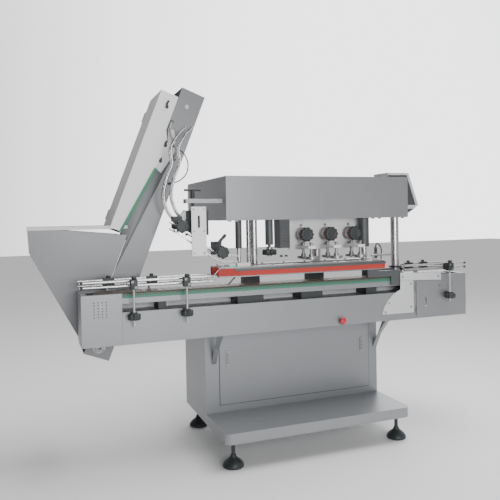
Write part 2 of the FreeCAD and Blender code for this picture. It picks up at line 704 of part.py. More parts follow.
def make_elevator_belt():
    low, high = ROLLERS
    y = ("elevator_front + 26", "elevator_back - 26")
    layers = []
    for name, radius, extra in (("belt_outer", "roller_radius + 4", 0),
                                ("belt_inner", "roller_radius + 0.3", 5)):
        sides = (f"{y[0]} - {extra}", f"{y[1]} + {extra}")
        middle = box(f"elevator_{name}_middle", (f"-75 - ({radius})", f"-75 + {radius}"), sides,
                     (low, high))
        ends = [rod(f"elevator_{name}_{i}", "y", (-75, sides[0], z), f"{sides[1]} - ({sides[0]})", radius)
                for i, z in enumerate(ROLLERS)]
        layers.append(join(f"elevator_{name}", middle, *ends))
    cleats = [box(f"cleat_{i}", (-150, -118), y, (150 + 150 * i, 156 + 150 * i)) for i in range(8)]
    band = join("elevator_band", layers[0], *cleats)
    keep(tilt(cut("elevator_belt", band, layers[1])), "elevator_belt")


def make_elevator_lid():
    out = "-lid_depth"
    wall = 2.5
    face = box("lid_face", (out, f"{out} + {wall}"), ("elevator_front - 4", "elevator_back + 4"),
               (655, 1440))
    near = prism("lid_side_near",
                 [(out, 655), ("-177", 655), ("-99", 1168), ("-elevator_depth - 1.5", 1250),
                                   ("-elevator_depth - 1.5", 1440), (out, 1440)],
                 ("elevator_front - 4", "elevator_front - 1.5"))
    far = box("lid_side_far", (out, "-elevator_depth - 1.5"),
              ("elevator_back + 1.5", "elevator_back + 4"), (655, 1440))
    top = box("lid_top", (out, "-elevator_depth - 1.5"), ("elevator_front - 4", "elevator_back + 4"),
              (1437, 1440))
    barrels = [rod(f"lid_barrel_{i}", "z", (out, "elevator_back + 4", z), 60, 6)
               for i, z in enumerate((700, 1300))]
    keep(tilt(join("elevator_lid", face, near, far, top, *barrels)), "elevator_lid")


def lean_point(across, up):
    """The (x, z) of a point given across and up the elevator."""
    angle = math.radians(VALUES["elevator_lean"])
    x = VALUES["elevator_x"] + across * math.cos(angle) + up * math.sin(angle)
    z = VALUES["elevator_z"] - across * math.sin(angle) + up * math.cos(angle)
    return round(x, 1), round(z, 1)


def make_hopper():
    low = lean_point(-VALUES["elevator_depth"] - 2, 30)
    high = lean_point(-VALUES["elevator_depth"] - 2, 648)
    body = prism("hopper_block", [("hopper_left", "hopper_rim"), ("hopper_left + 7", "hopper_rim - 128"),
                                  (-990, 611), low, high], ("elevator_front", "hopper_back"))
    doc.recompute()
    rim = [face for face in body.Shape.Faces if face.normalAt(0, 0).z > 0.9][0]
    rim_side = rim.normalAt(0, 0)
    elevator_side = Vector(math.cos(math.radians(VALUES["elevator_lean"])), 0,
                           -math.sin(math.radians(VALUES["elevator_lean"])))
    keep(hollow("hopper", body, "sheet_wall", rim_side, elevator_side), "hopper")


TRACK = [(-452, 1716), (-500, 1668), (-536, 1600), (-520, 1530), (-560, 1440), (-577, 1350), (-553, 1275),
         (-520, 1232), (-505, 1208)]


def make_track():
    tubes = []
    for i, (y, shift) in enumerate(((-205, 0), (-169, 0), (-205, 42), (-169, 42))):
        points = [(x + shift, y, z + shift * 0.1) for x, z in TRACK]
        tubes.append(pipe(f"track_tube_{i}", points, 5))
    keep(group("cap_track", *tubes), "cap_track")


def make_guide_rails():
    front = [("infeed", -1015, "belt_nose - 8", POSTS[:2]), ("outfeed", 800, "rail_end", POSTS[2:])]
    for name, left, right, spots in front:
        pieces = rail_rods(f"{name}_front", left, right, -332)
        pieces += [front_post(f"{name}_{i}", x) for i, x in enumerate(spots)]
        keep(join(f"{name}_front_rail", *pieces), f"{name}_front_rail")
    rear = [("infeed", -1015, "belt_nose - 8", ((-866, "cover_top"), (-650, "table_top"))),
            ("outfeed", 862, "rail_end", ((905, "cover_top"), (1010, "cover_top")))]
    for name, left, right, spots in rear:
        pieces = rail_rods(f"{name}_rear", left, right, -228)
        for i, (x, base) in enumerate(spots):
            pieces.append(box(f"{name}_rear_block_{i}", (x - 28, x + 28), (-236, -218), (904, 932)))
            pieces.append(rod(f"{name}_rear_arm_{i}", "y", (x, -219, 918), 74, 6))
            pieces.append(rod(f"{name}_rear_post_{i}", "z", (x, -151, f"{base} + 0.3"), f"934 - {base}", 6))
            pieces.append(rod(f"{name}_rear_foot_{i}", "z", (x, -151, f"{base} + 0.3"), 10, 14))
        keep(join(f"{name}_rear_rail", *pieces), f"{name}_rear_rail")
    for i, (x, level) in enumerate(zip(POSTS, KNOB_LEVELS)):
        keep(star_knob(f"post_knob_{i}", "z", (x, POST_Y, level), 31, 30, 6.06, 8), f"post_knob_{i + 1}")


def rail_rods(name, left, right, y):
    return [rod(f"{name}_rod_{i}", "x", (left, y, z), f"{right} - ({left})", "rod_radius")
            for i, z in enumerate((916, 940))]


def front_post(number, x):
    post = rod(f"front_post_{number}", "z", (x, POST_Y, 725), 215, 6)
    clamp = box(f"front_clamp_{number}", (x - 16, x + 16), (POST_Y - 16, POST_Y + 20), (905, 950))
    arm = rod(f"front_arm_{number}", "y", (x, POST_Y, 928), 50, 6)
    holder = box(f"front_holder_{number}", (x - 9, x + 9), (-345, -337), (908, 948))
    return join(f"front_post_set_{number}", post, clamp, arm, holder)


def make_operator_box(bracket):
    arm = join("operator_arm_set",
               box("operator_arm_low", ("hood_right + 0.3", 917), (47.5, 72.5), (1312, 1334)),
               box("operator_arm_high", ("hood_right + 0.3", 917), (47.5, 72.5), (1436, 1458)),
               rod("operator_pivot", "z", (905, 60, 1312), 146, 12))
    keep(group("hood_brackets", arm, bracket), "hood_brackets")
    shell = prism("operator_shell", [(922, 1508), (1080, 1508), (1154, 1299), (1076, 1248), (922, 1248)],
                  (8, 168))
    knuckle = box("operator_knuckle", (887, 930), (40, 80), (1335, 1435))
    bore = rod("operator_bore", "z", (905, 60, 1300), 200, "12 + fit_gap")
    keep(cut("operator_box", join("operator_joined", shell, knuckle), bore), "operator_box")


def make_emergency_button():
    stem = rod("stop_stem", "y", (STOP_X, "beam_front - 14", STOP_Z), 17, 11)
    head = turned("stop_head", [(0, 0), (20, 0), (20, 6), (14, 14), (0, 16)], "y", (0, 0, 0))
    head.Placement = Placement(Vector(STOP_X, VALUES["beam_front"] - 14, STOP_Z),
                               Rotation(Vector(1, 0, 0), 90))
    keep(join("emergency_stop", stem, head), "emergency_stop")


def check_and_write():
    doc.recompute()
    failed = []
    for item in doc.Objects:
        if "Invalid" in item.State or "Error" in item.State:
            failed.append(item.Label)
    if failed:
        raise RuntimeError(f"these objects failed: {failed}")
    os.makedirs("parts", exist_ok=True)
    for piece in NODES:
        if piece.Shape.isNull() or not piece.Shape.isValid():
            raise RuntimeError(f"{piece.Label} has no valid shape")
        piece.Shape.exportStep(f"parts/{piece.Label}.step")


fill_sheet()
make_plinth()
make_feet()
make_cabinet()
make_cabinet_door()
make_beam()
make_end_boxes()
make_drive_door()
make_struts()
make_rails()
make_chain()
make_supports(make_belts())
make_outfeed_guides()
make_columns()
make_hood()
make_head_drives()
make_head_plate()
make_spindles()
make_head_knobs()
make_chute()
chute_bracket = make_chute_carriage()
make_elevator()
make_elevator_lid()
make_hopper()
make_track()
make_guide_rails()
make_operator_box(chute_bracket)
make_emergency_button()
check_and_write()
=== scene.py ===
import json
import math

import bmesh
import bpy
from mathutils import Matrix, Vector


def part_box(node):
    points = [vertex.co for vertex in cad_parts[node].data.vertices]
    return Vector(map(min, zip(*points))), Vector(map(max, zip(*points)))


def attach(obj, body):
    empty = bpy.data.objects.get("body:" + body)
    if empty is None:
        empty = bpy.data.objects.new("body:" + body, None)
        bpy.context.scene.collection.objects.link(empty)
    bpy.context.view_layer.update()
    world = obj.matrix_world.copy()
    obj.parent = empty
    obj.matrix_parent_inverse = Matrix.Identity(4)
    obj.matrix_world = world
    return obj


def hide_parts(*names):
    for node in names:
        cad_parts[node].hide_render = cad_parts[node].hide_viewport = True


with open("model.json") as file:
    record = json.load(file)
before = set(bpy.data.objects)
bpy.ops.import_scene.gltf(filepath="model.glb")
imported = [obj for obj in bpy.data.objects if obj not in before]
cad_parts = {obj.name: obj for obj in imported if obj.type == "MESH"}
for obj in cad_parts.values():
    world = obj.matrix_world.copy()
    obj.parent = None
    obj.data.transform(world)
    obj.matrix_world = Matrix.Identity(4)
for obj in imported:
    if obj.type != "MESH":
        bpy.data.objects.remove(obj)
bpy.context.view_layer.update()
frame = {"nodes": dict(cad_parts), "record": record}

nodes = frame["nodes"]
scene = bpy.context.scene
MM = 0.001


# ---- Shared effects ----
# Shader node groups that put out masks, values and normals. Every material below uses both:
# the grain of the metal or plastic, and rounded edges with a mask that lightens them, partly as edge wear and
# partly as a painted highlight.

def effect(name, inputs, outputs):
    """An empty shader group with its named sockets, and its input and output nodes."""
    group = bpy.data.node_groups.new(name, "ShaderNodeTree")
    for label, kind, value in inputs:
        socket = group.interface.new_socket(name=label, in_out="INPUT", socket_type=kind)
        socket.default_value = value
    for label, kind in outputs:
        group.interface.new_socket(name=label, in_out="OUTPUT", socket_type=kind)
    return group, group.nodes.new("NodeGroupInput"), group.nodes.new("NodeGroupOutput")


def math_node(tree, operation, first, second=0.5, third=None):
    """A maths node fed by numbers or sockets; gives its output socket."""
    node = tree.nodes.new("ShaderNodeMath")
    node.operation = operation
    for socket, value in zip(node.inputs, (first, second, third)):
        if isinstance(value, bpy.types.NodeSocket):
            tree.links.new(value, socket)
        elif value is not None:
            socket.default_value = value
    return node.outputs[0]


def make_grain():
    """Fine streaks or speckle: noise stretched along the direction of the brushing."""
    group, source, result = effect(
        "surface_grain",
        [("Stretch", "NodeSocketVector", (1, 1, 1)), ("Scale", "NodeSocketFloat", 400)],
        [("Height", "NodeSocketFloat"), ("Cloud", "NodeSocketFloat")])
    place = group.nodes.new("ShaderNodeTexCoord")
    stretch = group.nodes.new("ShaderNodeVectorMath")
    stretch.operation = "MULTIPLY"
    group.links.new(place.outputs["Object"], stretch.inputs[0])
    group.links.new(source.outputs["Stretch"], stretch.inputs[1])
    fine = group.nodes.new("ShaderNodeTexNoise")
    fine.inputs["Detail"].default_value = 3
    group.links.new(stretch.outputs[0], fine.inputs["Vector"])
    group.links.new(source.outputs["Scale"], fine.inputs["Scale"])
    cloud = group.nodes.new("ShaderNodeTexNoise")
    cloud.inputs["Scale"].default_value = 3.5
    cloud.inputs["Detail"].default_value = 4
    group.links.new(place.outputs["Object"], cloud.inputs["Vector"])
    group.links.new(fine.outputs["Fac"], result.inputs["Height"])
    group.links.new(cloud.outputs["Fac"], result.inputs["Cloud"])
    return group


def make_edges():
    """Rounded edges for sheet and machined parts, and a mask of the edges, which the materials lighten as
    edge wear and as a painted highlight.
    """
    group, source, result = effect("edge_round", [("Radius", "NodeSocketFloat", 0.0015)],
                                   [("Mask", "NodeSocketFloat"), ("Normal", "NodeSocketVector")])
    bevel = group.nodes.new("ShaderNodeBevel")
    bevel.samples = 4
    group.links.new(source.outputs["Radius"], bevel.inputs["Radius"])
    flat = group.nodes.new("ShaderNodeNewGeometry")
    dot = group.nodes.new("ShaderNodeVectorMath")
    dot.operation = "DOT_PRODUCT"
    group.links.new(bevel.outputs["Normal"], dot.inputs[0])
    group.links.new(flat.outputs["Normal"], dot.inputs[1])
    turned = math_node(group, "SUBTRACT", 1.0, dot.outputs["Value"])
    mask = math_node(group, "MULTIPLY", turned, 4.0)
    group.links.new(math_node(group, "MINIMUM", mask, 1.0), result.inputs["Mask"])
    group.links.new(bevel.outputs["Normal"], result.inputs["Normal"])
    return group


grain_effect = make_grain()
edge_effect = make_edges()


def use(tree, group, **values):
    """Places a shared effect in a material, with its input values."""
    node = tree.nodes.new("ShaderNodeGroup")
    node.node_tree = group
    for label, value in values.items():
        node.inputs[label].default_value = value
    return node


def surface(name, color, rough, metal=0.0, stretch=(1, 1, 1), scale=400, height=0.00002,
            uneven=0.05, wear_and_sheen=0.0, edge=0.0015, coat=0.0):
    """A material with grain, uneven gloss, rounded edges, and edges lightened as wear and as a painted
    highlight; height and edge are in metres.
    """
    gloss_spread, wear_sheen_lift = 0.16, 0.35
    material = bpy.data.materials.new(name)
    material.use_nodes = True
    tree = material.node_tree
    shader = tree.nodes["Principled BSDF"]
    grain = use(tree, grain_effect, Stretch=stretch, Scale=scale)
    edges = use(tree, edge_effect, Radius=edge)
    shades = tree.nodes.new("ShaderNodeMix")
    shades.data_type = "RGBA"
    shades.inputs["A"].default_value = [c * (1 - uneven) for c in color] + [1]
    shades.inputs["B"].default_value = [min(1, c * (1 + uneven)) for c in color] + [1]
    blend = math_node(tree, "ADD", math_node(tree, "MULTIPLY", grain.outputs["Height"], 0.6),
                      math_node(tree, "MULTIPLY", grain.outputs["Cloud"], 0.4))
    tree.links.new(blend, shades.inputs["Factor"])
    # Lightens the edges: partly edge wear, partly a painted highlight where light would catch them.
    wear_sheen_mix = tree.nodes.new("ShaderNodeMix")
    wear_sheen_mix.data_type = "RGBA"
    wear_sheen_mix.inputs["B"].default_value = [min(1, c + wear_sheen_lift) for c in color] + [1]
    tree.links.new(shades.outputs["Result"], wear_sheen_mix.inputs["A"])
    tree.links.new(math_node(tree, "MULTIPLY", edges.outputs["Mask"], wear_and_sheen), wear_sheen_mix.inputs["Factor"])
    tree.links.new(wear_sheen_mix.outputs["Result"], shader.inputs["Base Color"])
    gloss = math_node(tree, "MULTIPLY_ADD", blend, gloss_spread, rough - gloss_spread / 2)
    tree.links.new(gloss, shader.inputs["Roughness"])
    shader.inputs["Metallic"].default_value = metal
    shader.inputs["Coat Weight"].default_value = coat
    bump = tree.nodes.new("ShaderNodeBump")
    bump.inputs["Distance"].default_value = height
    bump.inputs["Strength"].default_value = 0.6
    tree.links.new(grain.outputs["Height"], bump.inputs["Height"])
    tree.links.new(edges.outputs["Normal"], bump.inputs["Normal"])
    tree.links.new(bump.outputs["Normal"], shader.inputs["Normal"])
    return material


def paint(material, *names):
    """Puts a material in every slot of these CAD nodes."""
    for name in names:
        for place in nodes[name].material_slots:
            place.material = material


# ---- Camera ----
# An eye-level view from the front left, looking slightly to the right and along the line.
# The angles, the lens and the shift set the crop; the place is in metres.

def aim(place, yaw, dip, roll, lens, shift):
    """A camera from angles in degrees: yaw from +Y towards -X, dip below level, roll about the view."""
    across, down, twist = math.radians(yaw), math.radians(dip), math.radians(roll)
    forward = Vector((-math.sin(across) * math.cos(down), math.cos(across) * math.cos(down), -math.sin(down)))
    right = Vector((math.cos(across), math.sin(across), 0))
    up = right.cross(forward)
    side = right * math.cos(twist) + up * math.sin(twist)
    top = up * math.cos(twist) - right * math.sin(twist)
    data = bpy.data.cameras.new("camera")
    data.lens = lens
    data.shift_x, data.shift_y = shift
    camera = bpy.data.objects.new("camera", data)
    camera.matrix_world = Matrix.Translation(place) @ Matrix((side, top, -forward)).transposed().to_4x4()
    scene.collection.objects.link(camera)
    scene.camera = camera


aim(Vector((-1.2347, -3.2526, 1.2370)), yaw=-20.79, dip=1.08, roll=-1.06, lens=42.89,
    shift=(-0.008, -0.0424))


# ---- Floor and light ----
# A pale studio floor, a soft key lamp from the front and a large one overhead.
# The surroundings are dim on the left and in front, and bright on the right and behind.

def make_floor():
    reach, drop = 20, 0.0005
    mesh = bmesh.new()
    bmesh.ops.create_grid(mesh, x_segments=2, y_segments=2, size=reach)
    data = bpy.data.meshes.new("floor")
    mesh.to_mesh(data)
    mesh.free()
    floor = bpy.data.objects.new("floor", data)
    floor.location.z = -drop
    scene.collection.objects.link(floor)
    data.materials.append(surface("studio_floor", (0.93, 0.93, 0.93), 0.9, scale=60, uneven=0.01))


def area_light(name, place, target, size, power):
    """A rectangular lamp at a place, turned to a target, all in metres."""
    data = bpy.data.lights.new(name, "AREA")
    data.shape = "RECTANGLE"
    data.size, data.size_y = size
    data.energy = power
    lamp = bpy.data.objects.new(name, data)
    lamp.location = place
    lamp.rotation_euler = (Vector(target) - Vector(place)).to_track_quat("-Z", "Y").to_euler()
    scene.collection.objects.link(lamp)


make_floor()
area_light("key_light", (-0.2, -5.0, 1.7), (-0.1, -0.2, 0.8), (2.4, 1.8), 125)
area_light("top_light", (1.2, -0.2, 4.4), (0.1, 0, 0.8), (3.6, 2.6), 190)


def make_world(*ramps):
    """White surroundings; each ramp is a direction with its from and to limits, and they multiply."""
    world = bpy.data.worlds.new("studio")
    world.use_nodes = True
    tree = world.node_tree
    background = tree.nodes["Background"]
    background.inputs["Color"].default_value = (1, 1, 1, 1)
    sky = tree.nodes.new("ShaderNodeTexCoord")
    split = tree.nodes.new("ShaderNodeSeparateXYZ")
    tree.links.new(sky.outputs["Generated"], split.inputs[0])
    brightness = None
    for direction, *limits in ramps:
        ramp = tree.nodes.new("ShaderNodeMapRange")
        ramp.interpolation_type = "SMOOTHSTEP"
        for label, value in zip(("From Min", "From Max", "To Min", "To Max"), limits):
            ramp.inputs[label].default_value = value
        tree.links.new(split.outputs[direction], ramp.inputs["Value"])
        level = ramp.outputs["Result"]
        brightness = math_node(tree, "MULTIPLY", brightness, level) if brightness else level
    tree.links.new(brightness, background.inputs["Strength"])
    scene.world = world


make_world(("X", -0.5, 0.45, 0.09, 0.9), ("Y", -0.6, 0.1, 0.4, 1.0), ("Y", 0.45, 0.75, 1.0, 3.4))


# ---- Sheet metal ----
# Folded stainless covers, panels and brackets with a satin finish. The tones differ with
# the grain and the light on each sheet: brushed along X or Z, or pale and plain. The palest copy is painted
# light: brighter steel for the elevator lid and for the head plate in the hood's shade.

panel_steel = surface("panel_steel", (0.30, 0.31, 0.325), 0.42, 0.55, (0.06, 1, 1), 500, wear_and_sheen=0.25)
upright_steel = surface("upright_steel", (0.28, 0.29, 0.305), 0.42, 0.55, (1, 1, 0.06), 500, wear_and_sheen=0.25)
light_steel = surface("light_steel", (0.66, 0.665, 0.68), 0.5, 0.2, (1, 1, 1), 900, wear_and_sheen=0.15)
# Painted light: a brighter copy of the light steel, lighting the elevator lid and the head plate in the
# hood's shade.
pale_lit_steel = surface("pale_lit_steel", (0.86, 0.86, 0.87), 0.5, 0.1, (1, 1, 1), 900, wear_and_sheen=0.12)
hopper_steel = surface("hopper_steel", (0.19, 0.195, 0.205), 0.42, 0.55, (1, 1, 0.06), 500, wear_and_sheen=0.25)
smoked_steel = surface("smoked_steel", (0.13, 0.14, 0.145), 0.3, 0.6, (0.06, 1, 1), 500, wear_and_sheen=0.2)
paint(panel_steel, "plinth", "beam", "tail_cover", "drive_box", "drive_door", "hood", "side_rails",
      "hood_brackets")
paint(upright_steel, "cabinet", "cabinet_door", "brace_struts")
paint(light_steel, "operator_box")
paint(pale_lit_steel, "elevator_lid", "chute_plate", "head_plate")
paint(hopper_steel, "hopper", "elevator_frame")
paint(smoked_steel, "outfeed_guides")


# ---- Machined and polished steel ----
# Bright drawn rods for the columns and the round rails, and duller turned or milled steel for
# pulleys, spindles, rollers, plates and latches.

bright_steel = surface("bright_steel", (0.62, 0.62, 0.63), 0.22, 0.95, (1, 1, 0.2), 300, wear_and_sheen=0.1,
                       edge=0.0008)
turned_steel = surface("turned_steel", (0.34, 0.34, 0.35), 0.32, 0.9, (1, 1, 1), 700, wear_and_sheen=0.2, edge=0.0008)
paint(bright_steel, "columns", "infeed_front_rail", "infeed_rear_rail", "outfeed_front_rail",
      "outfeed_rear_rail", "chute_rails", "cap_track")
paint(turned_steel, "belt_plates", "drive_sprocket", "tail_sprocket", "front_belt_pulley", "rear_belt_pulley",
      "head_roller", "tail_roller", "door_lock", "left_latch", "right_latch",
      *(f"{row}_spindle_{i}" for row in ("front", "rear") for i in (1, 2, 3)))


# ---- Plastics, rubber and painted castings ----
# Moulded black knobs, blocks and feet, painted motors, red gripper belts, green guide strips
# and brown chain plates.

black_plastic = surface("black_plastic", (0.028, 0.034, 0.036), 0.48, scale=1200, height=0.00004, wear_and_sheen=0.06)
dark_paint = surface("dark_paint", (0.085, 0.09, 0.095), 0.45, 0.2, scale=900, wear_and_sheen=0.15)
belt_rubber = surface("belt_rubber", (0.46, 0.035, 0.025), 0.62, scale=1500, height=0.00008, uneven=0.12)
guide_green = surface("guide_green", (0.045, 0.22, 0.14), 0.45, stretch=(0.1, 1, 1), scale=600)
chain_brown = surface("chain_brown", (0.10, 0.075, 0.06), 0.45, scale=900, uneven=0.1, wear_and_sheen=0.1)
stop_red = surface("stop_red", (0.55, 0.02, 0.045), 0.3, scale=800, coat=0.3)
paint(black_plastic, "support_blocks", "screw_handle", "chute_carriage", "levelling_feet",
      "lift_handwheel", *(f"{kind}_knob_{i}" for kind in ("post", "adjusting") for i in (1, 2, 3)),
      "chute_knob_1", "chute_knob_2")
paint(dark_paint, "head_drives")
paint(belt_rubber, "side_belts")
paint(guide_green, "green_strips", "elevator_belt")
paint(chain_brown, "conveyor_chain")
paint(stop_red, "emergency_stop")


# ---- Mesh tools ----
# Turned, cut and bent shapes. Points and sizes are in millimetres, in the frame of the CAD,
# and each finished piece is hung on its body.

AXES = {
    "up": Matrix.Identity(3),
    "front": Matrix.Rotation(math.pi / 2, 3, "X"),
    "right": Matrix.Rotation(math.pi / 2, 3, "Y"),
    "left": Matrix.Rotation(-math.pi / 2, 3, "Y"),
}


def spin(mesh, profile, place, axis="up", steps=32, lobes=0, depth=0.0, inner=0.0):
    """Turns (radius, height) points about an axis; lobes wave the points beyond the inner radius."""
    turn = AXES[axis]
    rings = []
    for radius, height in profile:
        ring = []
        for i in range(steps if radius else 1):
            angle = 2 * math.pi * i / steps
            dent = depth * (0.5 - 0.5 * math.cos(lobes * angle)) if lobes and radius > inner else 0
            reach = radius * (1 - dent)
            spot = turn @ Vector((reach * math.cos(angle), reach * math.sin(angle), height))
            ring.append(mesh.verts.new((spot + Vector(place)) * MM))
        rings.append(ring)
    for lower, upper in zip(rings, rings[1:]):
        for i in range(steps):
            j = (i + 1) % steps
            around = (lower[i % len(lower)], lower[j % len(lower)],
                      upper[j % len(upper)], upper[i % len(upper)])
            corners = list(dict.fromkeys(around))
            if len(corners) > 2:
                mesh.faces.new(corners)


def slab(mesh, outline, low, high, plane="top"):
    """A plate between two levels, its outline in (x, y) seen from the top or (x, z) from the front."""
    order = {"top": (0, 1, 2), "front": (0, 2, 1)}[plane]
    layers = []
    for level in (low, high):
        spots = [(a, b, level) for a, b in outline]
        layers.append([mesh.verts.new([spot[i] * MM for i in order]) for spot in spots])
    mesh.faces.new(layers[0][::-1])
    mesh.faces.new(layers[1])
    count = len(outline)
    for i in range(count):
        j = (i + 1) % count
        mesh.faces.new((layers[0][i], layers[0][j], layers[1][j], layers[1][i]))


def brick(mesh, x, y, z):
    """A box from its spans in x, y and z."""
    slab(mesh, [(x[0], y[0]), (x[1], y[0]), (x[1], y[1]), (x[0], y[1])], z[0], z[1])


def finish_piece(name, mesh, material, body, bevel=0.0, smooth=35, replaced=()):
    """Bevels the sharp edges, shades the mesh and hangs it on its body; smooth is in degrees."""
    sharp_angle = 0.6
    bmesh.ops.recalc_face_normals(mesh, faces=mesh.faces[:])
    if bevel:
        sharp = [e for e in mesh.edges if len(e.link_faces) == 2 and e.calc_face_angle() > sharp_angle]
        bmesh.ops.bevel(mesh, geom=sharp, offset=bevel * MM, segments=2, affect="EDGES", profile=0.6)
    data = bpy.data.meshes.new(name)
    mesh.to_mesh(data)
    mesh.free()
    data.materials.append(material)
    data.shade_smooth()
    data.set_sharp_from_angle(angle=math.radians(smooth))
    piece = bpy.data.objects.new(name, data)
    scene.collection.objects.link(piece)
    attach(piece, body)
    if replaced:
        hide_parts(*replaced)


def bent(name, points, radius, material, body):
    """A round rod, bead or cable that starts and ends at its outer points and is drawn to the others."""
    curve = bpy.data.curves.new(name, "CURVE")
    curve.dimensions = "3D"
    curve.bevel_depth = radius * MM
    curve.bevel_resolution = 5
    curve.use_fill_caps = True
    spline = curve.splines.new("NURBS")
    spline.points.add(len(points) - 1)
    for spot, point in zip(spline.points, points):
        spot.co = [v * MM for v in point] + [1]
    spline.order_u = 3
    spline.use_endpoint_u = True
    spline.resolution_u = 12
    curve.materials.append(material)
    piece = bpy.data.objects.new(name, curve)
    scene.collection.objects.link(piece)
    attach(piece, body)


def cap_screw(mesh, place, axis, radius, height):
    """A screw head with a round socket, on its washer."""
    spin(mesh, [(0, 0), (radius * 1.5, 0), (radius * 1.5, 0.8), (radius, 0.8), (radius, height - 0.6),
                (radius - 0.6, height), (radius * 0.55, height), (radius * 0.5, height * 0.5),
                (0, height * 0.5)], place, axis, 16)


def hex_nut(mesh, place, axis, radius, height):
    """A hexagon with chamfered corners on a round washer."""
    spin(mesh, [(0, 0), (radius * 1.25, 0), (radius * 1.25, 1.2), (0, 1.2)], place, axis, 24)
    spin(mesh, [(0, 1.2), (radius * 0.97, 1.2), (radius, 2), (radius, height - 1), (radius * 0.9, height),
                (0, height)], place, axis, 6)


def corners_of(node):
    """The low and high corners of a CAD node, in millimetres."""
    low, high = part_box(node)
    return low / MM, high / MM


def middle_of(node):
    """The middle of a CAD node's box, in millimetres."""
    low, high = corners_of(node)
    return (low + high) / 2


# ---- Levelling feet ----
# Moulded black bell-shaped pads, each on a threaded stud with a lock nut under the frame.
# Pad and stud are one turned profile at each foot's mount.

def make_feet():
    nut_level = 117
    pad = [(0, 0), (51, 0), (53, 2), (53, 9), (51, 16), (45, 25), (36, 34), (26, 41), (18, 47), (14.5, 54),
           (13, 61), (9.5, 63)]
    stud = [(9.5 + 0.5 * (i % 2), 65 + 2 * i) for i in range(26)] + [(0, nut_level)]
    mesh = bmesh.new()
    for mount in frame["record"]["mounts"]:
        if not mount["name"].startswith("foot"):
            continue
        place = [v / MM for v in mount["pos_m"]]
        spin(mesh, pad + stud, place, "up", 40)
        hex_nut(mesh, (place[0], place[1], nut_level), "up", 17, 16.8)
    finish_piece("bell_feet", mesh, black_plastic, "frame", smooth=45,
                 replaced=["levelling_feet"])


make_feet()


# ---- Star knobs ----
# Moulded black grips with lobes and a recessed cap, on the rail posts, the head's adjusters,
# the chute clamps and the lift screw. Each turns about its own rod or short stem.

def make_knob(node, axis, radius, height, bore, lobes, stem=None):
    """A grip in the place of a CAD knob, facing along its axis; stem is a reach behind it and a radius."""
    low, high = corners_of(node)
    centre = (low + high) / 2
    if axis == "front":
        place = (centre.x, low.y + height, centre.z)
    else:
        place = (centre.x, centre.y, low.z)
    rim = [(radius * 0.62, 0), (radius * 0.93, 1.2), (radius, 5), (radius, height - 6),
           (radius * 0.95, height - 2.2), (radius * 0.85, height - 0.4), (radius * 0.7, height)]
    cap = [(radius * 0.46, height), (radius * 0.42, height - 2), (radius * 0.4, height - 2),
           (bore, height - 2)]
    mesh = bmesh.new()
    spin(mesh, [(bore, 0)] + rim + cap, place, axis, 12 * lobes, lobes, 0.13, radius * 0.65)
    if stem:
        reach, thick = stem
        spin(mesh, [(0, -reach), (thick, -reach), (thick, 0.5), (0, 0.5)], place, axis, 20)
    finish_piece(f"{node}_grip", mesh, black_plastic, node, smooth=50, replaced=[node])


for number in (1, 2, 3):
    make_knob(f"post_knob_{number}", "up", 31, 30, 6.2, 8)
for number in (1, 2, 3):
    make_knob(f"adjusting_knob_{number}", "front", 42, 28, 0, 10, (84, 9))
for number in (1, 2):
    make_knob(f"chute_knob_{number}", "front", 34, 26, 0, 8, (24, 5))
make_knob("lift_handwheel", "up", 42, 30, 8.2, 8)


# ---- Knob collars ----
# Behind each adjusting knob sit a red or orange scale ring and a turned steel bush, pressed
# against the head's front plate, with a cap screw above and one below.

signal_red = surface("signal_red", (0.42, 0.05, 0.03), 0.4, scale=900, wear_and_sheen=0.1)
signal_orange = surface("signal_orange", (0.40, 0.17, 0.06), 0.4, scale=900, wear_and_sheen=0.1)


def make_collars():
    ring_back, bush_back, screw_seat = -215.5, -172.3, -172
    bushes = bmesh.new()
    screws = bmesh.new()
    for number, paint_used in zip((1, 2, 3), (signal_red, signal_orange, signal_red)):
        centre = middle_of(f"adjusting_knob_{number}")
        ring = bmesh.new()
        spin(ring, [(9.4, 0), (34, 0), (35.5, 1.5), (35.5, 15), (34, 16.5), (9.4, 16.5)],
             (centre.x, ring_back, centre.z), "front", 48)
        finish_piece(f"scale_ring_{number}", ring, paint_used, "head", smooth=40)
        spin(bushes, [(9.4, 0), (40, 0), (40, 5), (31, 6), (31, 20), (34, 22), (34, 40), (32, 42), (9.4, 42)],
             (centre.x, bush_back, centre.z), "front", 48)
        for rise in (-56, 52):
            cap_screw(screws, (centre.x + 1, screw_seat, centre.z + rise), "front", 5.5, 6)
    finish_piece("knob_bushes", bushes, turned_steel, "head", smooth=40)
    finish_piece("head_plate_screws", screws, turned_steel, "head")


make_collars()


# ---- Conveyor chain ----
# Flat moulded plates, each hinged to the next by two knuckles and a cross pin, running out on
# top of the beam, round the sprockets at both ends and back below.

